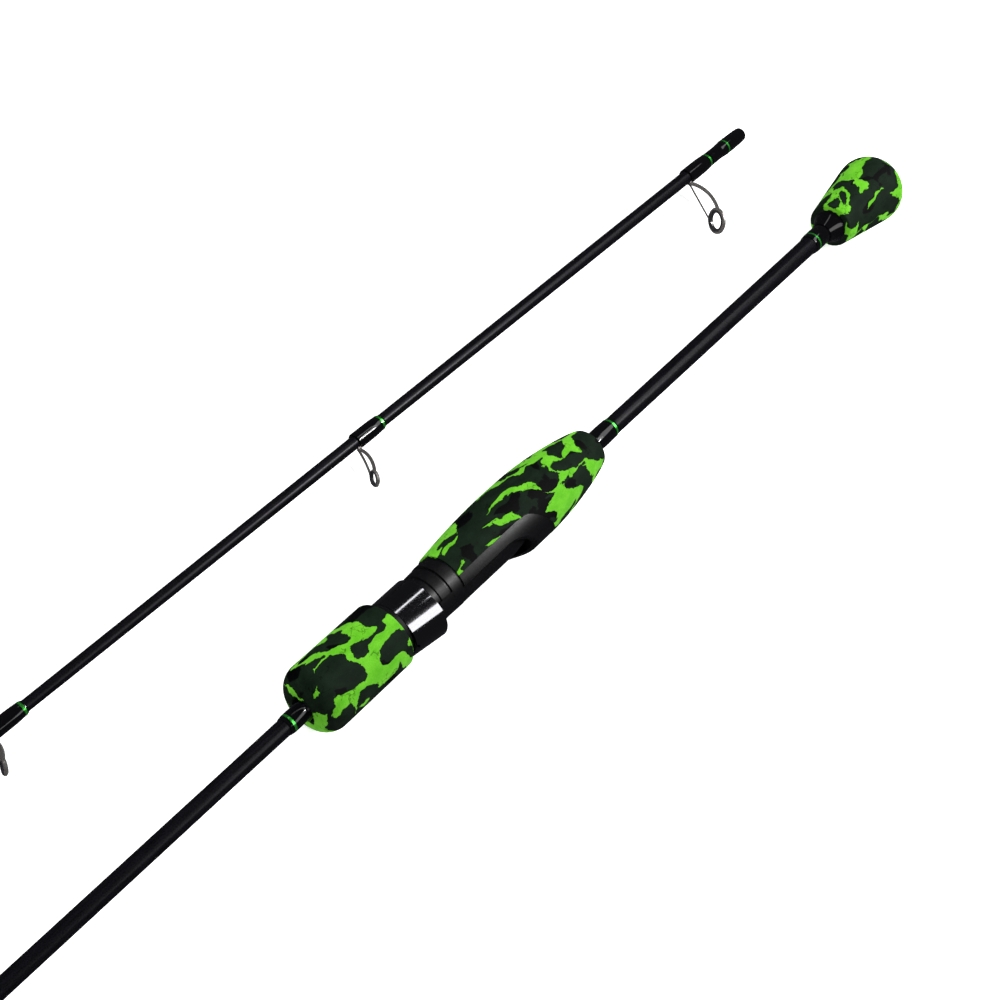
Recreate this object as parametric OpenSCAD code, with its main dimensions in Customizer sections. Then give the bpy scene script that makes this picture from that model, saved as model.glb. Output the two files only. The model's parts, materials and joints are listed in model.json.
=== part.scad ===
// Two-piece spinning rod, taken apart: the butt section with its handle and reel seat,
// and the tip section lying beside it with its line guides on the reel's side.
// X runs from the butt to the tip, +Y is the side of the reel and the guides, +Z is up.
// The origin is on the butt section's axis, under the middle of the reel bed.
// Places along the butt section are counted on a scale that starts knob_x behind the
// butt knob; places along the tip section are counted from its socket's end.

/* [Sections] */
// Length of each section, end to end
section_len = 930; // [900:5:980]
// Length of the spigot that stands out of the butt section
spigot_len = 60; // [45:1:65]
// Radius of the spigot
spigot_r = 2.45; // [2.4:0.01:2.47]
// Where the middle of the reel bed lies on the butt section's scale
seat_x = 380; // [379:1:381]
// Where the tip section's socket lies on the butt section's scale
tip_x = 55.2; // [40:0.1:80]
// Sideways offset of the tip section
tip_y = -70.9; // [-90:0.1:-65]
// Height of the tip section's axis against the butt section's axis
tip_z = -11; // [-14:0.5:0]

/* [Handle] */
// Where the butt knob starts on the butt section's scale
knob_x = 14.8; // [13:0.1:16]
// Largest radius of the butt knob
knob_r = 18.5; // [17:0.1:20]
// Length of the butt knob
knob_len = 58.1; // [56:0.1:60]
// Largest radius of the rear grip
grip_r = 16.2; // [16.1:0.1:17]
// Where the rear grip starts
grip_x = 294; // [293.8:0.1:296]
// Radius of the foregrip
foregrip_r = 15.25; // [14:0.05:17]
// Length of the foregrip
foregrip_len = 48.6; // [46:0.1:48.6]

/* [Reel seat] */
// Radius of the round bed that the reel's foot rests on
bed_r = 12; // [11.9:0.05:12.1]
// Height of the seat's edge beside the bed above the rod's axis
ridge_y = 8.2; // [8:0.1:8.4]
// Depth of the groove between that edge and the bed
trough_depth = 0.8; // [0.5:0.1:1]
// Height of the flat along the barrel that keeps the moving hood from turning
key_y = 8.3; // [8.2:0.1:8.4]
// Width of that flat
key_w = 14; // [13:0.5:14]
// Radius of the threaded barrel
barrel_r = 9.5; // [9.3:0.1:9.5]
// Length of the moving hood
hood_len = 17; // [16:1:17]
// Running clearance of the moving hood and the lock nut on the barrel
run_gap = 0.1; // [0.06:0.01:0.12]

/* [Guides] */
// Distance from the socket's end to the first guide's ring on the tip section
first_ring_x = 62; // [62:0.1:66]
// Each gap between guides as a share of the gap before it
gap_ratio = 0.755; // [0.74:0.001:0.77]
// Number of guides on the tip section, without the tip-top
guide_count = 6; // [6]
// Lean of every ring towards the tip, in degrees
ring_lean = 27; // [20:1:32]
// Where the stripper guide's ring stands on the butt section
stripper_x = 669.6; // [660:0.1:700]

/* [Hidden] */
$fn = 72;

// Colours
carbon = [0.05, 0.05, 0.06];
epoxy = [0.02, 0.02, 0.02];
camo_green = [0.38, 0.82, 0.19];
trim_green = [0.3, 0.75, 0.25];
seat_black = [0.09, 0.09, 0.1];
gunmetal = [0.25, 0.25, 0.27];
ring_black = [0.1, 0.1, 0.11];
check_grey = [0.6, 0.6, 0.6];

// Thickness of a glue line, and the skin of varnish where a wrap runs out
glue = 0.03;
skin = 0.15;
// Margin by which a cut runs past the surface that it opens
cut = 1;

// Stations of the two tapers, as [place on the section's scale, outer radius]
blank_start = 25;
spigot_end = knob_x + section_len;
butt_end = spigot_end - spigot_len;
butt_taper = [[blank_start, 5], [280, 4.33], [500, 3.62], [butt_end, 3.15]];
tip_taper = [[0, 3.45], [150, 3.3], [480, 2.5], [section_len, 1]];
function butt_r(x) = lookup(x, butt_taper);
function tip_r(x) = lookup(x, tip_taper);

// Places along the handle, on the butt section's scale
knob_end = knob_x + knob_len;
core_x = 332;
pocket_x = 343;
hood_mouth_x = 353;
ridge_x = 371;
collar_x = 398;
barrel_x = 412.2;
hood_x = 414.2;
nut_x = hood_x + hood_len;
flange_len = 3;
foregrip_x = nut_x + flange_len;
barrel_end_x = 468;
core_r = 11;
arbor_r = 6;
sleeve_r = 12;
sleeve_end_x = 465;
hood_r = 12.4;
hood_wall = 1.2;
hood_lift = 4.3;
hood_travel = 12;
// Opening in the rear grip: its round back end, half its width and the height of its lower edge
window_x = 340.6;
window_w = 15.6;
window_y = 3.6;

// The line guides: ring position, outer radius, bore radius and ring height above the axis
tip_span = section_len - first_ring_x;
function ring_x(i) = first_ring_x
    + tip_span * (1 - pow(gap_ratio, i)) / (1 - pow(gap_ratio, guide_count));
ring_r = [6.85, 3.9, 3.3, 3.0, 2.8, 2.8];
bore_r = [4.15, 2.5, 2.0, 1.8, 1.7, 1.7];
ring_y = [28.1, 17.6, 12.5, 10, 8.5, 7.5];
function tip_guide(i) = [ring_x(i), ring_r[i], bore_r[i], ring_y[i], tip_r(ring_x(i) - 30)];
stripper = [stripper_x, 10.8, 7.2, 36, butt_r(stripper_x - 40)];
function leg_back(g) = 2.5 + 0.17 * g[3];
function wrap_end(g) = g[0] - leg_back(g) - 0.6;
function wrap_len(g) = 10.8 + 0.36 * g[3];
// A guide's frame gets thinner as its ring gets smaller
function strap_t(g) = 0.55 + 0.06 * g[1];
function strap_w(g) = 0.9 + 0.14 * g[1];
function ring_t(g) = 1.1 + 0.12 * g[1];
// Radius where the metal rim ends and the ceramic ring begins
function seat_r(g) = g[2] + 0.54 * (g[1] - g[2]);
foot_t = 0.5;
foot_w = 1.8;
trim_w = 1.1;
trim_depth = 0.25;
// Height of varnish over a guide's foot, and the rounding of a wrap's square end
wrap_over_foot = 0.85;
rounding = 0.2;
// Thread wraps, as [start, length, inner radius, largest radius, green band from the start]
knob_wrap_at = [knob_end + 9.2, 13.4, butt_r(blank_start), 5.5, 9.6];
rear_wrap_at = [276, 16.2, butt_r(276), 4.85, 1];
front_wrap_at = [483, 10, butt_r(483), 4.2, 7.2];
butt_end_wrap_at = [butt_end - 22, 21, butt_r(butt_end - 22), 3.85, 1];
function guide_wrap_at(g) =
    [wrap_end(g) - wrap_len(g), wrap_len(g), g[4], g[4] + wrap_over_foot, 1];

// Tip-top: ring radius, bore radius, ring height and how far the ring stands past the blank
top_ring_r = 2.8;
top_bore_r = 1.7;
top_y = 3.4;
top_ahead = 3;
top_tube_r = 1.4;
top_tube_len = 12;

steps = 16;

function mix(a, b, t) = a + (b - a) * t;
function ease(t) = (1 - cos(180 * t)) / 2;
// Points on an arc, as [radius, x] for a lathe profile
function arc(c, r, from, to) =
    [for (i = [0 : steps]) c + r * [cos(mix(from, to, i / steps)), sin(mix(from, to, i / steps))]];
// Outer radius of a thread wrap at a share t of its length
function swell(t, bore, peak) = bore + skin + (peak - bore - skin) * pow(sin(180 * t), 0.5);

module at_butt(x = 0) { translate([x - seat_x, 0, 0]) children(); }
module at_tip(x = 0) { translate([tip_x + x - seat_x, tip_y, tip_z]) children(); }
// Turns a profile of [radius, x] points about the X axis
module lathe(points) { rotate([0, 90, 0]) rotate_extrude() polygon(points); }
// A rod or cone along X
module round_bar(x, len, r1, r2) {
    translate([x, 0, 0]) rotate([0, 90, 0]) cylinder(h = len, r1 = r1, r2 = r2);
}
module ring_band(x, len, inner, outer) {
    difference() {
        round_bar(x, len, outer, outer);
        round_bar(x - cut, len + 2 * cut, inner, inner);
    }
}

// A thread wrap under varnish: a swelling on the blank, with a groove for its green band.
// A blunt wrap keeps its full height to a square front end, where a guide's foot comes out.
module wrap_body(w, blunt = false) {
    last = blunt ? 0.5 : 1;
    end_x = w[0] + w[1];
    difference() {
        lathe(concat(
            [[w[2] + glue, w[0]]],
            [for (i = [0 : steps]) let (t = last * i / steps)
                [swell(t, w[2], w[3]), w[0] + w[1] * t]],
            blunt ? [[w[3], end_x - rounding], [w[3] - rounding, end_x]] : [],
            [[w[2] + glue, end_x]]));
        ring_band(w[0] + w[4], trim_w, trim_inner(w), w[3] + cut);
    }
}
function trim_inner(w) = swell((w[4] + trim_w / 2) / w[1], w[2], w[3]) - trim_depth;
// The green band in the wrap's groove
module trim_band(w) {
    inner = trim_inner(w) + glue;
    ring_band(w[0] + w[4] + glue, trim_w - 2 * glue, inner, inner + trim_depth + glue);
}

// A leg cut to an arc between two points, bowed out by sag along the bow direction.
// Its width w lies in the plane of the arc.
module strap(a, b, bow, sag, w, t) {
    len = norm(b - a);
    ex = (b - a) / len;
    side = bow - (bow * ex) * ex;
    ey = side / norm(side);
    ez = cross(ex, ey);
    r = len * len / (8 * sag) + sag / 2;
    half = asin(len / 2 / r);
    c = (a + b) / 2 + ey * (sag - r);
    multmatrix([
        [ex[0], ey[0], ez[0], c[0]],
        [ex[1], ey[1], ez[1], c[1]],
        [ex[2], ey[2], ez[2], c[2]]])
        rotate([0, 0, 90 - half])
        rotate_extrude(angle = 2 * half)
        translate([r - w / 2, -t / 2])
        square([w, t]);
}

// Stands a ring's own frame at height y: its bore runs along local X
module lean_ring(x, y) { translate([x, y, 0]) rotate([0, 0, -ring_lean]) children(); }

// The metal rim around a ceramic ring, with softened edges
module rim(inner, outer, t) {
    e = t / 4;
    lathe([[inner, -t / 2], [outer - e, -t / 2], [outer, -t / 2 + e],
        [outer, t / 2 - e], [outer - e, t / 2], [inner, t / 2]]);
}
// The ceramic ring: a short straight bore between two rounded edges
module ceramic(bore, outer, t) {
    e = t / 3;
    lathe(concat(
        arc([bore + e, -t / 2 + e], e, 270, 180),
        arc([bore + e, t / 2 - e], e, 180, 90),
        [[outer, t / 2], [outer, -t / 2]]));
}

// A single-foot guide frame: the foot on the blank, two bowed legs and the rim
module guide_frame(g) {
    start_x = g[0] - leg_back(g);
    base = g[4] + glue;
    mid_r = (seat_r(g) + g[1]) / 2;
    spread = 48;
    height = g[3] - mid_r * cos(spread) * cos(ring_lean);
    reach_x = g[0] - mid_r * cos(spread) * sin(ring_lean);
    difference() {
        union() {
            translate([start_x - wrap_len(g) + 4, base, -foot_w / 2])
                cube([wrap_len(g) - 3.5, foot_t, foot_w]);
            translate([start_x - 0.4, base, -foot_w / 2 - 0.3])
                cube([1.4, foot_t + 0.8, foot_w + 0.6]);
            for (s = [-1, 1])
                strap([start_x + 0.7, base + 0.9, s * 0.6],
                    [reach_x, height, s * mid_r * sin(spread)],
                    [-1, 0, s], 0.09 * g[3], strap_w(g), strap_t(g));
            lean_ring(g[0], g[3]) rim(seat_r(g) + glue, g[1], ring_t(g));
        }
        lean_ring(g[0], g[3])
            round_bar(-ring_t(g), 2 * ring_t(g), seat_r(g) + glue, seat_r(g) + glue);
    }
}
module guide_ring(g) { lean_ring(g[0], g[3]) ceramic(g[2], seat_r(g), ring_t(g) + 0.4); }
// The wrap that binds a guide's foot to the blank
module guide_wrap(g) {
    difference() {
        wrap_body(guide_wrap_at(g), true);
        translate([wrap_end(g) - wrap_len(g) + 4.5, 0, -foot_w / 2 - glue])
            cube([wrap_len(g), g[4] + foot_t + 2 * glue, foot_w + 2 * glue]);
    }
}
module guide_trim(g) { trim_band(guide_wrap_at(g)); }

// Butt section ---------------------------------------------------------------

spigot_seat = 50;
root_r = 2;
module butt_blank() {
    bore_back = 3.6;
    bore_front = 1.7;
    color(carbon) at_butt() difference() {
        lathe(concat([[0, blank_start]], [for (s = butt_taper) [s[1], s[0]]], [[0, butt_end]]));
        round_bar(blank_start - cut, butt_end - blank_start + 2 * cut, bore_back, bore_front);
        round_bar(butt_end - spigot_seat, spigot_seat + cut, root_r + glue, root_r + glue);
    }
}

// The spigot steps down to a slimmer root, which is glued into the blank
module ferrule_spigot() {
    bore = 1.2;
    nose = 0.4;
    color(epoxy) at_butt() lathe([
        [bore, butt_end - spigot_seat + cut], [root_r, butt_end - spigot_seat + cut],
        [root_r, butt_end], [spigot_r, butt_end],
        [spigot_r, spigot_end - nose], [spigot_r - nose, spigot_end], [bore, spigot_end]]);
}

// The knob: an oval rear end, then a nearly straight flank that gets slimmer
function knob_profile(x) = let (widest = knob_x + 15, slope = 0.165, round_off = 2)
    x < widest
        ? knob_r * sqrt(1 - pow((widest - x) / (widest - knob_x), 2))
        : knob_r - slope * (norm([x - widest, round_off]) - round_off);
module butt_knob() {
    bore = butt_r(blank_start) + glue;
    edge = 1;
    start_x = knob_x + 0.1;
    last_x = knob_end - edge;
    color(camo_green) at_butt() difference() {
        lathe(concat(
            [[0, start_x]],
            [for (i = [0 : 32]) let (x = mix(start_x, knob_x + 15, 1 - cos(90 * i / 32)))
                [knob_profile(x), x]],
            [for (i = [1 : 32]) let (x = mix(knob_x + 15, last_x, i / 32))
                [knob_profile(x), x]],
            arc([knob_profile(last_x) - edge, last_x], edge, 10, 90),
            [[0, knob_end]]));
        round_bar(blank_start - glue, knob_len, bore, bore);
    }
}

// The flared collar against the knob
module knob_check() {
    flare = 8.9;
    lip = 0.8;
    collar_len = 9;
    start_x = knob_end + glue;
    base = butt_r(blank_start) + glue;
    color(epoxy) at_butt() lathe(concat(
        [[base, start_x], [flare, start_x], [flare, start_x + lip]],
        [for (i = [1 : steps]) let (t = i / steps)
            [mix(flare, base + 0.6, pow(t, 0.9)), start_x + lip + (collar_len - lip) * t]],
        [[base, start_x + collar_len]]));
}
module knob_wrap() { color(epoxy) at_butt() wrap_body(knob_wrap_at); }

module rear_wrap() { color(epoxy) at_butt() wrap_body(rear_wrap_at); }
module rear_check_ring() {
    color(check_grey) at_butt()
        ring_band(grip_x - 1.5, 1.5 - glue, butt_r(grip_x) + glue, 5.6);
}

function grip_back(t) = mix(9.7, grip_r, pow(sin(90 * t), 0.8));
function grip_front(t) = grip_r - 3.2 * pow(t, 1.9);
// Solid of the rear grip before it is bored and opened, taken in all round by inset
module grip_shape(inset = 0) {
    back_len = 51;
    front_x = 351;
    lathe(concat(
        [[0, grip_x], [8.7 - inset, grip_x]],
        [for (i = [0 : 24]) [grip_back(i / 24) - inset, grip_x + 0.9 + (back_len - 0.9) * i / 24]],
        [for (i = [0 : steps]) [grip_front(i / steps) - inset, mix(front_x, collar_x, i / steps)]],
        [[0, collar_x]]));
}
// The opening on the reel's side, round at the back, through which the seat shows
module grip_window(gap) {
    r = window_w - gap;
    middle_x = window_x + window_w;
    translate([0, window_y + gap, 0]) rotate([-90, 0, 0]) linear_extrude(20) {
        translate([middle_x, 0]) circle(r);
        translate([middle_x, -r]) square([barrel_x - middle_x, 2 * r]);
    }
}
module rear_grip() {
    bore = butt_r(280) + glue;
    color(camo_green) at_butt() difference() {
        grip_shape();
        round_bar(grip_x - cut, core_x - grip_x + 2 * cut, bore, bore);
        round_bar(core_x, collar_x - core_x + cut, core_r + glue, core_r + glue);
        grip_window(0);
    }
}

module seat_arbor(x, len) { ring_band(x, len, butt_r(x) + glue, arbor_r - glue); }
module seat_arbor_rear() { color(check_grey) at_butt() seat_arbor(core_x + 3, 16); }
module seat_arbor_front() { color(check_grey) at_butt() seat_arbor(440, 16); }

// Everything above a height on the reel's side, from one station to the next
module above(y, from_x, to_x) { translate([from_x, y, -20]) cube([to_x - from_x, 30, 40]); }
// Height of the seat's edge: it falls from the arched mouth of the fixed hood to the ridge
function edge_y(x) = ridge_y
    + (grip_r - ridge_y) * pow((ridge_x - x) / (ridge_x - hood_mouth_x), 2.1);
// The part of the seat that lies flush with the foam: fixed hood, flanks and ridge
module seat_shell() {
    wall = 1.7;
    flush = 0.1;
    difference() {
        intersection() {
            grip_shape(flush);
            grip_window(glue);
            translate([0, 0, -20]) linear_extrude(40) polygon(concat(
                [[window_x, window_y], [window_x, 20], [hood_mouth_x, 20]],
                [for (i = [0 : steps]) let (x = mix(hood_mouth_x, ridge_x, i / steps))
                    [x, edge_y(x)]],
                [[collar_x, ridge_y], [collar_x, window_y]]));
        }
        intersection() {
            grip_shape(wall);
            above(ridge_y - trough_depth, pocket_x, collar_x + cut);
        }
    }
}
// The round bed; its floor dips under the fixed hood for the back end of the reel's foot
module bed_bar() {
    ramp_x = 363;
    difference() {
        intersection() {
            round_bar(pocket_x - cut, barrel_x - pocket_x + cut, bed_r, bed_r);
            grip_window(glue);
            above(ridge_y - trough_depth - cut, pocket_x - cut, barrel_x);
        }
        translate([ramp_x, bed_r, -8]) rotate([0, 0, 6.7])
            translate([pocket_x - ramp_x, 0, 0]) cube([ramp_x - pocket_x, 8, 16]);
    }
}
module reel_seat_body() {
    color(seat_black) at_butt() difference() {
        union() {
            round_bar(core_x + glue, collar_x - core_x, core_r, core_r);
            seat_shell();
            bed_bar();
            // Front collar with a step and a groove
            lathe([
                [0, collar_x + glue], [12.15, collar_x + glue], [12.05, 404.1],
                [11.3, 404.4], [11.3, 405.2], [11.75, 405.5],
                [11.5, 410.2], [10.9, 410.6], [10.9, barrel_x + 1], [0, barrel_x + 1]]);
            round_bar(barrel_x, barrel_end_x - barrel_x, barrel_r, barrel_r);
        }
        round_bar(core_x - cut, barrel_end_x - core_x + 2 * cut, arbor_r, arbor_r);
        // Flat of the barrel, long enough for the hood's travel
        translate([barrel_x, key_y, -key_w / 2]) cube([hood_len + hood_travel + 6, 20, key_w]);
    }
}

// The moving hood: round at the back, raised over the reel's foot on the reel's side.
// Every layer of it leans the same way, so that the layers lie in each other.
module hood_shape(from_x, to_x, r) {
    round_bar(from_x, to_x - from_x, r, r);
    intersection() {
        translate([hood_x - 6, hood_lift, 0]) rotate([0, 0, -7]) round_bar(-10, 50, r, r);
        round_bar(from_x, to_x - from_x, 30, 30);
    }
}
module moving_hood() {
    color(gunmetal) at_butt() difference() {
        hood_shape(hood_x, nut_x - 0.1, hood_r);
        hood_shape(hood_x - cut, nut_x + cut, hood_r - hood_wall);
        // Thumb notch at the front edge
        translate([nut_x, 10, 4.5]) rotate([-90, 0, 0]) cylinder(h = 8, r = 1.8);
    }
}
// The plastic lining that carries the hood on the barrel and grips the reel's foot
module hood_liner() {
    floor_y = 11.2;
    pocket_len = 13;
    color(seat_black) at_butt() difference() {
        hood_shape(hood_x + 0.4, nut_x - 0.2, hood_r - hood_wall - glue);
        difference() {
            round_bar(hood_x, hood_len + cut, barrel_r + run_gap, barrel_r + run_gap);
            // Key on the barrel's flat
            translate([hood_x, key_y + run_gap, run_gap - key_w / 2])
                cube([hood_len, 8, key_w - 2 * run_gap]);
        }
        // Pocket for the front end of the reel's foot
        intersection() {
            round_bar(hood_x - cut, pocket_len, 14.3, 12.5);
            translate([hood_x - cut, floor_y, -6.5]) cube([pocket_len, 8, 13]);
        }
    }
}

module lock_nut() {
    bore = barrel_r + run_gap;
    color(seat_black) at_butt() lathe([
        [bore, nut_x + run_gap], [12.4, nut_x + run_gap], [13.1, foregrip_x - glue],
        [sleeve_r - glue, foregrip_x - glue], [sleeve_r - glue, sleeve_end_x],
        [bore, sleeve_end_x]]);
}

module foregrip() {
    front = 9;
    back = 1.5;
    end_x = foregrip_x + foregrip_len;
    nose_bore = 5.5;
    color(camo_green) at_butt() difference() {
        lathe(concat(
            [[0, foregrip_x]],
            arc([foregrip_r - back, foregrip_x + back], back, -90, 0),
            arc([foregrip_r - front, end_x - front], front, 0, 90),
            [[0, end_x]]));
        round_bar(foregrip_x - cut, barrel_end_x + 2 - foregrip_x + cut, sleeve_r, sleeve_r);
        round_bar(foregrip_x, foregrip_len + cut, nose_bore, nose_bore);
    }
}

module front_wrap() { color(epoxy) at_butt() wrap_body(front_wrap_at); }
module butt_end_wrap() { color(epoxy) at_butt() wrap_body(butt_end_wrap_at); }
module butt_trim_bands() {
    color(trim_green) at_butt() {
        trim_band(knob_wrap_at);
        trim_band(rear_wrap_at);
        trim_band(front_wrap_at);
        trim_band(butt_end_wrap_at);
        guide_trim(stripper);
    }
}
module stripper_frame() { color(gunmetal) at_butt() guide_frame(stripper); }
module stripper_ring() { color(ring_black) at_butt() guide_ring(stripper); }
module stripper_wrap() { color(epoxy) at_butt() guide_wrap(stripper); }

// Tip section ----------------------------------------------------------------

socket_r = spigot_r + 0.03;
socket_depth = spigot_len + 2;
module tip_blank() {
    hollow_end = section_len - 90;
    color(carbon) at_tip() difference() {
        lathe(concat([[0, 0]], [for (s = tip_taper) [s[1], s[0]]], [[0, section_len]]));
        round_bar(-cut, socket_depth + cut, socket_r, socket_r);
        round_bar(socket_depth - cut, hollow_end - socket_depth, 2.1, 0.5);
    }
}
// The long reinforcing wrap around the socket, with a slimmer waist
ferrule_wrap_len = 32.8;
ferrule_trim_x = 16.6;
waist_x = 22;
function ferrule_profile(x) = tip_r(0) + glue + skin
    + 0.45 * pow(sin(180 * min(1, x / waist_x)), 0.5)
    + 0.1 * ease(x / ferrule_wrap_len);
module ferrule_wrap() {
    color(epoxy) at_tip() difference() {
        lathe(concat(
            [[tip_r(0) + glue, 0.2]],
            [for (i = [0 : 32]) let (x = 0.2 + (ferrule_wrap_len - 0.4) * i / 32)
                [ferrule_profile(x), x]],
            [[tip_r(0) + glue, ferrule_wrap_len - 0.2]]));
        ring_band(ferrule_trim_x, trim_w, ferrule_profile(ferrule_trim_x) - trim_depth, 6);
    }
}
module tip_trim_bands() {
    inner = ferrule_profile(ferrule_trim_x) - trim_depth + glue;
    color(trim_green) at_tip() {
        ring_band(ferrule_trim_x + glue, trim_w - 2 * glue, inner, inner + 0.3);
        for (i = [0 : guide_count - 1]) guide_trim(tip_guide(i));
    }
}

module tip_guide_frame(i) { color(gunmetal) at_tip() guide_frame(tip_guide(i)); }
module tip_guide_ring(i) { color(ring_black) at_tip() guide_ring(tip_guide(i)); }
module tip_guide_wrap(i) { color(epoxy) at_tip() guide_wrap(tip_guide(i)); }

top_seat_r = top_bore_r + 0.54 * (top_ring_r - top_bore_r);
top_x = section_len + top_ahead;
module tip_top_frame() {
    bore = tip_r(section_len - top_tube_len) + glue;
    tube_x = section_len - top_tube_len;
    mid_r = (top_seat_r + top_ring_r) / 2;
    color(gunmetal) at_tip() difference() {
        union() {
            difference() {
                round_bar(tube_x, top_tube_len + 1.2, top_tube_r, top_tube_r);
                round_bar(tube_x - cut, top_tube_len + cut + glue, bore, bore);
            }
            lean_ring(top_x, top_y) rim(top_seat_r + glue, top_ring_r, 1.4);
            for (s = [-1, 1])
                strap([tube_x + 4, 0.6, s * 1.1], [top_x - 0.6, top_y - 0.6, s * mid_r],
                    [0, 0, s], 0.5, 0.9, 0.6);
        }
        round_bar(tube_x - cut, top_tube_len + cut, bore, bore);
        lean_ring(top_x, top_y) round_bar(-1.4, 2.8, top_seat_r + glue, top_seat_r + glue);
    }
}
module tip_top_ring() {
    color(ring_black) at_tip() lean_ring(top_x, top_y) ceramic(top_bore_r, top_seat_r, 1.7);
}

butt_blank();
ferrule_spigot();
butt_knob();
knob_check();
knob_wrap();
rear_wrap();
rear_check_ring();
rear_grip();
seat_arbor_rear();
seat_arbor_front();
reel_seat_body();
moving_hood();
hood_liner();
lock_nut();
foregrip();
front_wrap();
stripper_frame();
stripper_ring();
stripper_wrap();
butt_end_wrap();
butt_trim_bands();
tip_blank();
ferrule_wrap();
tip_guide_frame(0);  // guide_1_frame
tip_guide_ring(0);  // guide_1_ring
tip_guide_wrap(0);  // guide_1_wrap
tip_guide_frame(1);  // guide_2_frame
tip_guide_ring(1);  // guide_2_ring
tip_guide_wrap(1);  // guide_2_wrap
tip_guide_frame(2);  // guide_3_frame
tip_guide_ring(2);  // guide_3_ring
tip_guide_wrap(2);  // guide_3_wrap
tip_guide_frame(3);  // guide_4_frame
tip_guide_ring(3);  // guide_4_ring
tip_guide_wrap(3);  // guide_4_wrap
tip_guide_frame(4);  // guide_5_frame
tip_guide_ring(4);  // guide_5_ring
tip_guide_wrap(4);  // guide_5_wrap
tip_guide_frame(5);  // guide_6_frame
tip_guide_ring(5);  // guide_6_ring
tip_guide_wrap(5);  // guide_6_wrap
tip_top_frame();
tip_top_ring();
tip_trim_bands();
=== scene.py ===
"""Looks of the two-piece spinning rod.

Camouflage foam grips, satin blanks, varnished wraps and polished guides on a pale table."""
import json

import bpy
from mathutils import Matrix, Vector


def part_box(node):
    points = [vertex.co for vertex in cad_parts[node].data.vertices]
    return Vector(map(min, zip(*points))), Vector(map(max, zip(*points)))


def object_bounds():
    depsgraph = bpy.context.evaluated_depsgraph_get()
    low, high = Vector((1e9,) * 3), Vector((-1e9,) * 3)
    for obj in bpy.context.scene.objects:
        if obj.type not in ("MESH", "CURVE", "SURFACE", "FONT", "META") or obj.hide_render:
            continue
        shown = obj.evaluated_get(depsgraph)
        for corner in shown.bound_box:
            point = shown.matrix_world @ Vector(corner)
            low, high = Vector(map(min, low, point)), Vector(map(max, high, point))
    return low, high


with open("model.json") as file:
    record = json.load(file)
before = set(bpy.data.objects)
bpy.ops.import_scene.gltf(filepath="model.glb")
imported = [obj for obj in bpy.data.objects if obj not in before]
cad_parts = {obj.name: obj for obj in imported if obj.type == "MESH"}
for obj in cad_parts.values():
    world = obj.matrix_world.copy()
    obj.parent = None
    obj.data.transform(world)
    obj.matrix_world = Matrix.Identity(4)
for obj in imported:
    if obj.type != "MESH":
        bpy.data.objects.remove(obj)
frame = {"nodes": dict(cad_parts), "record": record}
cad_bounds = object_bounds()
nodes = frame["nodes"]


# ---------------------------------------------------------------- node helpers
def new_material(name):
    """A new node material, with its tree and its shader."""
    mat = bpy.data.materials.new(name)
    mat.use_nodes = True
    tree = mat.node_tree
    return mat, tree, tree.nodes["Principled BSDF"]


def add(tree, kind, **settings):
    """A shader node with its properties set by name."""
    node = tree.nodes.new(kind)
    for key, value in settings.items():
        setattr(node, key, value)
    return node


def link(tree, a, b):
    tree.links.new(a, b)


def position(tree, scale, offset=(0, 0, 0)):
    """The place on the object in metres, scaled per axis and moved."""
    where = add(tree, "ShaderNodeTexCoord")
    mapping = add(tree, "ShaderNodeMapping")
    mapping.inputs["Scale"].default_value = scale
    mapping.inputs["Location"].default_value = offset
    link(tree, where.outputs["Object"], mapping.inputs["Vector"])
    return mapping.outputs["Vector"]


def noise(tree, vector, scale, detail=2.0, rough=0.5):
    n = add(tree, "ShaderNodeTexNoise")
    n.inputs["Scale"].default_value = scale
    n.inputs["Detail"].default_value = detail
    n.inputs["Roughness"].default_value = rough
    link(tree, vector, n.inputs["Vector"])
    return n.outputs["Fac"]


def math_node(tree, operation, a, b):
    """One arithmetic node; a and b are sockets or numbers."""
    n = add(tree, "ShaderNodeMath", operation=operation)
    for slot, value in zip(n.inputs, (a, b)):
        if hasattr(value, "is_output"):
            link(tree, value, slot)
        else:
            slot.default_value = value
    return n.outputs[0]


def ramp(tree, fac, stops):
    """A colour ramp; stops are (place, grey or colour)."""
    n = add(tree, "ShaderNodeValToRGB")
    marks = n.color_ramp.elements
    while len(marks) < len(stops):
        marks.new(0.5)
    for mark, (place, value) in zip(marks, stops):
        mark.position = place
        mark.color = (value, value, value, 1) if isinstance(value, float) else (*value, 1)
    link(tree, fac, n.inputs["Fac"])
    return n.outputs["Color"]


def blend_colour(tree, fac, a, b):
    """Colour a where the socket fac is 0 and colour b where it is 1."""
    n = add(tree, "ShaderNodeMix", data_type="RGBA")
    for slot, value in ((n.inputs[0], fac), (n.inputs[6], a), (n.inputs[7], b)):
        if isinstance(value, tuple):
            slot.default_value = (*value, 1)
        else:
            link(tree, value, slot)
    return n.outputs[2]


def bump(tree, shader, height, strength, distance):
    n = add(tree, "ShaderNodeBump")
    n.inputs["Strength"].default_value = strength
    n.inputs["Distance"].default_value = distance
    link(tree, height, n.inputs["Height"])
    link(tree, n.outputs["Normal"], shader.inputs["Normal"])


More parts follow.
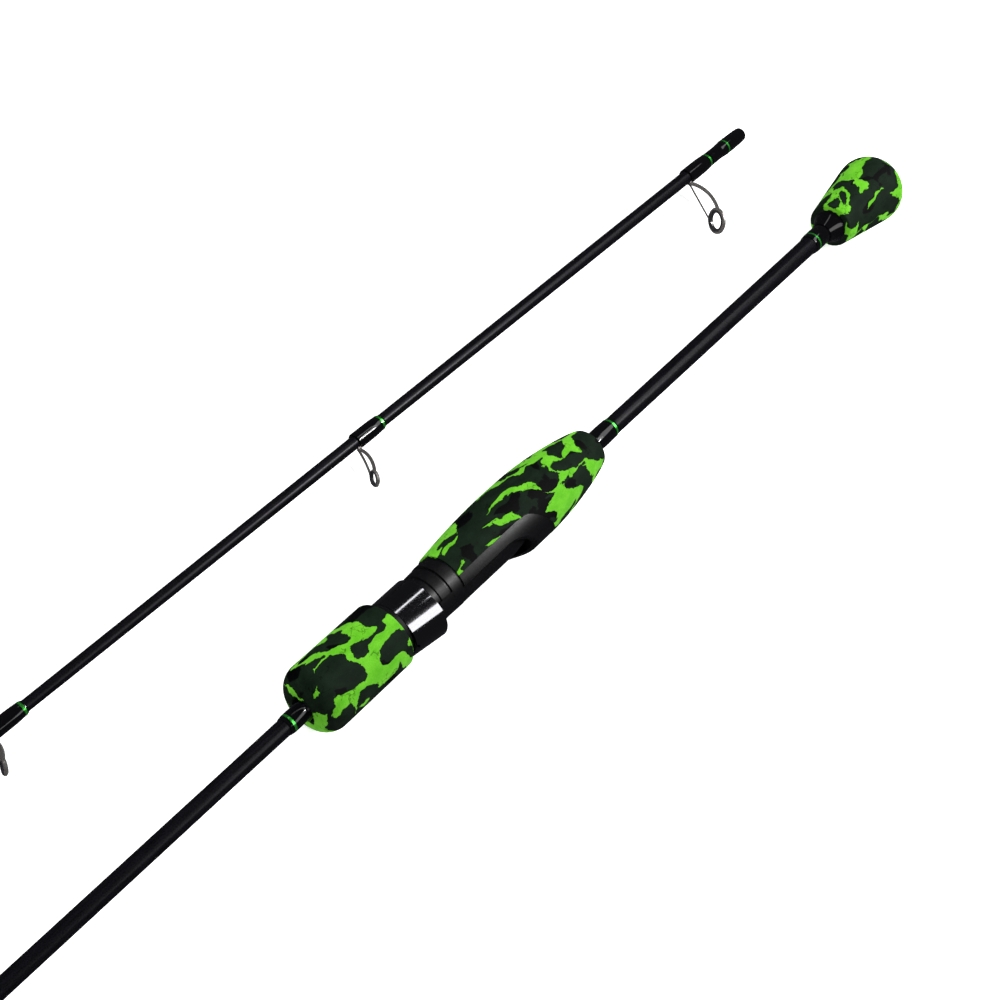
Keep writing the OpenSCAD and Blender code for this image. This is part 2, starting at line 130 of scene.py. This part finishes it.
def warp(tree, vector, scale, detail, amount):
    """The place pushed about by a coloured noise, which bends and tears a pattern made from it."""
    n = add(tree, "ShaderNodeTexNoise")
    n.inputs["Scale"].default_value = scale
    n.inputs["Detail"].default_value = detail
    link(tree, vector, n.inputs["Vector"])
    centred = add(tree, "ShaderNodeVectorMath", operation="SUBTRACT")
    centred.inputs[1].default_value = (0.5, 0.5, 0.5)
    link(tree, n.outputs["Color"], centred.inputs[0])
    push = add(tree, "ShaderNodeVectorMath", operation="MULTIPLY_ADD")
    push.inputs[1].default_value = (amount, amount, amount)
    link(tree, centred.outputs[0], push.inputs[0])
    link(tree, vector, push.inputs[2])
    return push.outputs[0]


def scaled(colour, factor):
    return tuple(c * factor for c in colour)


def multiply_colour(tree, a, b):
    mixed = add(tree, "ShaderNodeMix", data_type="RGBA", blend_type="MULTIPLY")
    mixed.inputs[0].default_value = 1.0
    link(tree, a, mixed.inputs[6])
    link(tree, b, mixed.inputs[7])
    return mixed.outputs[2]


# ------------------------------------------------------------------- materials
LEAF_GREEN = (0.080, 0.345, 0.010)
LIME_GREEN = (0.115, 0.420, 0.018)
DARK_GREEN = (0.0050, 0.0125, 0.0058)
DEEP_GREEN = (0.0032, 0.0080, 0.0040)
FOAM_BLACK = (0.0009, 0.0010, 0.0013)
# The lowest level that a noise texture usually reaches, and how far it usually ranges
NOISE_LOW = 0.32
NOISE_SPAN = 0.36
# Spacing in metres of a wave texture's bands at scale 1
WAVE_SPACING = 0.314
# Spacing of the turns of thread, in metres
THREAD_PITCH = 0.00022


def camo_foam(name, offset, width, dark):
    """Moulded foam: jagged flames of bright green over dark green and black, with a fine grain.

    width is the (least, largest) half width of the flames as a noise level; dark is the noise
    level above which black gives way to dark green."""
    mat, tree, shader = new_material(name)
    p = position(tree, (0.65, 1.0, 1.0), offset)
    bent = warp(tree, warp(tree, p, 75, 1.0, 0.013), 380, 4.0, 0.0034)
    # The flames follow the middle level of one noise, and a second noise sets their width
    level = noise(tree, bent, 78, 0.8, 0.45)
    away = math_node(tree, "ABSOLUTE", math_node(tree, "SUBTRACT", level, 0.5), 0.0)
    swell = noise(tree, warp(tree, p, 300, 2.0, 0.004), 70, 1.0, 0.5)
    gain = (width[1] - width[0]) / NOISE_SPAN
    reach = math_node(tree, "MULTIPLY_ADD", swell, gain)
    reach.node.inputs[2].default_value = width[0] - NOISE_LOW * gain
    is_green = ramp(tree, math_node(tree, "SUBTRACT", reach, away), [(0.0, 0.0), (0.004, 1.0)])
    other = noise(tree, warp(tree, bent, 60, 1.0, 0.012), 84, 1.0, 0.5)
    is_dark = ramp(tree, other, [(dark, 0.0), (dark + 0.008, 1.0)])
    grain = noise(tree, position(tree, (1, 1, 1)), 2600, 2, 0.7)
    shade = noise(tree, p, 230, 3, 0.6)
    light = ramp(tree, shade, [(0.35, LEAF_GREEN), (0.65, LIME_GREEN)])
    shadow = ramp(tree, shade, [(0.35, DEEP_GREEN), (0.65, DARK_GREEN)])
    under = blend_colour(tree, is_dark, FOAM_BLACK, shadow)
    colour = blend_colour(tree, is_green, under, light)
    # Fine dark seams where the granules of foam have fused
    seams = add(tree, "ShaderNodeTexVoronoi", feature="DISTANCE_TO_EDGE")
    seams.inputs["Scale"].default_value = 210
    torn = warp(tree, position(tree, (1, 1, 1), offset), 400, 2.0, 0.004)
    link(tree, torn, seams.inputs["Vector"])
    some = ramp(tree, noise(tree, p, 140, 1), [(0.52, 1.0), (0.60, 0.0)])
    seam = math_node(tree, "ADD", seams.outputs["Distance"], some)
    line = ramp(tree, seam, [(0.012, 0.42), (0.045, 1.0)])
    speck = ramp(tree, grain, [(0.30, 0.80), (0.60, 1.0)])
    colour = multiply_colour(tree, multiply_colour(tree, colour, speck), line)
    link(tree, colour, shader.inputs["Base Color"])
    shader.inputs["Roughness"].default_value = 0.75
    shader.inputs["Specular IOR Level"].default_value = 0.08
    pores = add(tree, "ShaderNodeTexVoronoi")
    pores.inputs["Scale"].default_value = 900
    link(tree, position(tree, (1, 1, 1)), pores.inputs["Vector"])
    dents = ramp(tree, pores.outputs["Distance"], [(0.05, 0.0), (0.35, 1.0)])
    height = math_node(tree, "ADD", math_node(tree, "MULTIPLY", grain, 0.6), dents)
    bump(tree, shader, height, 0.25, 0.00012)
    return mat


def satin_blank():
    """Ground and sprayed graphite: near black, with the faint spiral that the wrapping tape leaves."""
    mat, tree, shader = new_material("satin_blank")
    p = position(tree, (1, 1, 1))
    streak = noise(tree, position(tree, (0.12, 1, 1)), 900, 3, 0.6)
    greys = [(0.3, (0.0015, 0.0015, 0.0020)), (0.7, (0.0040, 0.0038, 0.0052))]
    link(tree, ramp(tree, streak, greys), shader.inputs["Base Color"])
    link(tree, ramp(tree, noise(tree, p, 1500, 2), [(0.3, 0.24), (0.7, 0.32)]),
         shader.inputs["Roughness"])
    shader.inputs["Specular IOR Level"].default_value = 0.09
    shader.inputs["Specular Tint"].default_value = (0.94, 0.92, 1.0, 1)
    tape = add(tree, "ShaderNodeTexWave", wave_type="BANDS", bands_direction="X")
    tape.inputs["Scale"].default_value = 60
    tape.inputs["Distortion"].default_value = 0.6
    link(tree, p, tape.inputs["Vector"])
    bump(tree, shader, tape.outputs["Fac"], 0.05, 0.0001)
    return mat


def varnished_thread(name, base, metallic):
    """Wound thread under a thick gloss varnish."""
    mat, tree, shader = new_material(name)
    p = position(tree, (1, 1, 1))
    wound = add(tree, "ShaderNodeTexWave", wave_type="BANDS", bands_direction="X")
    wound.inputs["Scale"].default_value = WAVE_SPACING / THREAD_PITCH
    link(tree, p, wound.inputs["Vector"])
    lighter = scaled(base, 1.7)
    link(tree, ramp(tree, wound.outputs["Fac"], [(0.2, base), (0.9, lighter)]),
         shader.inputs["Base Color"])
    shader.inputs["Metallic"].default_value = metallic
    shader.inputs["Roughness"].default_value = 0.25 if metallic else 0.06
    shader.inputs["Specular IOR Level"].default_value = 0.05
    shader.inputs["Coat Weight"].default_value = 1.0
    shader.inputs["Coat Roughness"].default_value = 0.03
    shader.inputs["Coat IOR"].default_value = 1.27
    bump(tree, shader, noise(tree, p, 260, 2), 0.12, 0.0004)
    return mat


def matt_plastic(name, base, rough, specular=0.5):
    mat, tree, shader = new_material(name)
    shader.inputs["Specular IOR Level"].default_value = specular
    p = position(tree, (1, 1, 1))
    shade = noise(tree, p, 700, 3, 0.6)
    link(tree, ramp(tree, shade, [(0.3, scaled(base, 0.8)), (0.7, scaled(base, 1.2))]),
         shader.inputs["Base Color"])
    link(tree, ramp(tree, noise(tree, p, 2200, 2), [(0.3, rough - 0.05), (0.7, rough + 0.06)]),
         shader.inputs["Roughness"])
    bump(tree, shader, noise(tree, p, 5200, 2, 0.7), 0.15, 0.00006)
    return mat


def polished_metal(name, base, rough, metallic=1.0):
    """Plated metal with faint polishing marks."""
    mat, tree, shader = new_material(name)
    marks = noise(tree, position(tree, (1, 6, 6)), 800, 3, 0.6)
    link(tree, ramp(tree, marks, [(0.25, scaled(base, 0.85)), (0.75, scaled(base, 1.15))]),
         shader.inputs["Base Color"])
    shader.inputs["Metallic"].default_value = metallic
    link(tree, ramp(tree, marks, [(0.3, rough * 0.8), (0.7, rough * 1.3)]), shader.inputs["Roughness"])
    bump(tree, shader, marks, 0.03, 0.00005)
    return mat


def ceramic():
    mat, tree, shader = new_material("dark_ceramic")
    fine = noise(tree, position(tree, (1, 1, 1)), 4000, 2)
    link(tree, ramp(tree, fine, [(0.3, (0.012, 0.012, 0.014)), (0.7, (0.02, 0.02, 0.022))]),
         shader.inputs["Base Color"])
    shader.inputs["Roughness"].default_value = 0.12
    shader.inputs["Coat Weight"].default_value = 0.6
    bump(tree, shader, fine, 0.02, 0.00003)
    return mat


knob_foam = camo_foam("camo_foam_knob", (0.31, 0.12, 0.40), (-0.035, 0.105), 0.37)
rear_foam = camo_foam("camo_foam_rear", (0.11, 0.35, 0.22), (-0.04, 0.105), 0.38)
front_foam = camo_foam("camo_foam_front", (0.52, 0.21, 0.07), (-0.025, 0.145), 0.40)
blank_mat = satin_blank()
thread_mat = varnished_thread("black_thread", (0.0015, 0.0015, 0.0018), 0.0)
green_mat = varnished_thread("green_thread", (0.030, 0.330, 0.030), 0.85)
seat_mat = matt_plastic("seat_black", (0.003, 0.003, 0.0035), 0.36, 0.16)
arbor_mat = matt_plastic("arbor_foam", (0.4, 0.4, 0.38), 0.8)
spigot_mat = matt_plastic("spigot_glass", (0.02, 0.02, 0.02), 0.3)
check_mat = polished_metal("check_ring_metal", (0.42, 0.42, 0.43), 0.3)
hood_mat = polished_metal("black_chrome", (0.20, 0.20, 0.21), 0.07)
guide_mat = polished_metal("gunmetal", (0.26, 0.245, 0.235), 0.2, 0.75)
ceramic_mat = ceramic()

LOOKS = {
    "camo_foam": front_foam, "carbon_blank": blank_mat, "thread_wrap": thread_mat,
    "green_trim": green_mat, "check_ring": check_mat, "seat_plastic": seat_mat,
    "hood_metal": hood_mat, "guide_metal": guide_mat, "ceramic_ring": ceramic_mat,
    "arbor_foam": arbor_mat, "spigot_glass": spigot_mat,
}
OWN_LOOKS = {"butt_knob": knob_foam, "rear_grip": rear_foam, "foregrip": front_foam}
slot_of = {s["node"]: s["material_slot"] for s in frame["record"]["subparts"]}


def dress(obj, mat):
    obj.data.materials.clear()
    obj.data.materials.append(mat)


for name, obj in nodes.items():
    dress(obj, OWN_LOOKS.get(name, LOOKS[slot_of[name]]))
# The soft foam doesn't show up in the gloss of its neighbours
for name in OWN_LOOKS:
    nodes[name].visible_glossy = False

# ------------------------------------------------------------------ the stage
low, high = (Vector(v) for v in cad_bounds)
seat_low, seat_high = (Vector(v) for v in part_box("reel_seat_body"))


def plane(name, size, centre):
    """A flat square; size is half its side."""
    mesh = bpy.data.meshes.new(name)
    x, y, z = centre
    corners = [(x - size, y - size, z), (x + size, y - size, z),
               (x + size, y + size, z), (x - size, y + size, z)]
    mesh.from_pydata(corners, [], [(0, 1, 2, 3)])
    obj = bpy.data.objects.new(name, mesh)
    bpy.context.scene.collection.objects.link(obj)
    return obj


FLOOR_SIZE = 6.0
FLOOR_GAP = 0.0002
floor = plane("floor", FLOOR_SIZE, ((low.x + high.x) / 2, (low.y + high.y) / 2, low.z - FLOOR_GAP))
mat, tree, shader = new_material("pale_floor")
shader.inputs["Base Color"].default_value = (0.9, 0.9, 0.9, 1)
shader.inputs["Roughness"].default_value = 0.9
shader.inputs["Specular IOR Level"].default_value = 0.1
shader.inputs["Emission Color"].default_value = (1, 1, 1, 1)
shader.inputs["Emission Strength"].default_value = 0.55
dress(floor, mat)
floor.visible_glossy = False


def area_light(name, centre, target, width, depth, watts):
    data = bpy.data.lights.new(name, "AREA")
    data.shape = "RECTANGLE"
    data.size = width
    data.size_y = depth
    data.energy = watts
    obj = bpy.data.objects.new(name, data)
    obj.location = centre
    obj.rotation_euler = (Vector(target) - Vector(centre)).to_track_quat("-Z", "Y").to_euler()
    bpy.context.scene.collection.objects.link(obj)
    return obj


middle = (seat_low + seat_high) / 2
# The lamps stand where the round, shiny pieces mirror them towards the camera:
# one dim broad box, one narrow box, and a pair of small bright lamps
key = middle + Vector((-0.78, 0.44, 1.02))
apart = Vector((-0.08, 0.10, 0.0))
area_light("broad_softbox", key, middle, 1.7, 0.42, 11)
area_light("narrow_softbox", middle + Vector((-0.74, -0.20, 1.03)), middle, 1.7, 0.06, 1.5)
area_light("small_lamp_left", key * 0.97 - apart, middle, 0.08, 0.08, 6)
area_light("small_lamp_right", key * 0.97 + apart, middle, 0.08, 0.08, 6)
fill = area_light("left_fill", middle + Vector((0.35, -1.0, 1.0)), middle, 0.6, 0.6, 14)
fill.visible_glossy = False

world = bpy.data.worlds.new("studio")
bpy.context.scene.world = world
world.use_nodes = True
tree = world.node_tree
background = tree.nodes["Background"]
path = add(tree, "ShaderNodeLightPath")
seen = blend_colour(tree, path.outputs["Is Camera Ray"], (0.45, 0.45, 0.46), (0.93, 0.93, 0.93))
seen = blend_colour(tree, path.outputs["Is Glossy Ray"], seen, (0.03, 0.03, 0.035))
link(tree, seen, background.inputs["Color"])

# ----------------------------------------------------------------- the camera
# The view of a table-top picture: from the tip's side, high above and a little turned
AIM = middle + Vector((-0.051615, -0.011277, 0.0))
DISTANCE = 0.6939
FORWARD = Vector((-0.5772, -0.0876, -0.8121)).normalized()
RIGHT = Vector((-0.6064, 0.7121, 0.3545)).normalized()
camera_data = bpy.data.cameras.new("camera")
camera_data.sensor_width = 36
camera_data.lens = 58.3
camera = bpy.data.objects.new("camera", camera_data)
bpy.context.scene.collection.objects.link(camera)
up = RIGHT.cross(FORWARD).normalized()
turn = Matrix((RIGHT, up, -FORWARD)).transposed()
camera.matrix_world = Matrix.Translation(AIM - DISTANCE * FORWARD) @ turn.to_4x4()
bpy.context.scene.camera = camera
bpy.context.scene.view_settings.view_transform = "Standard"
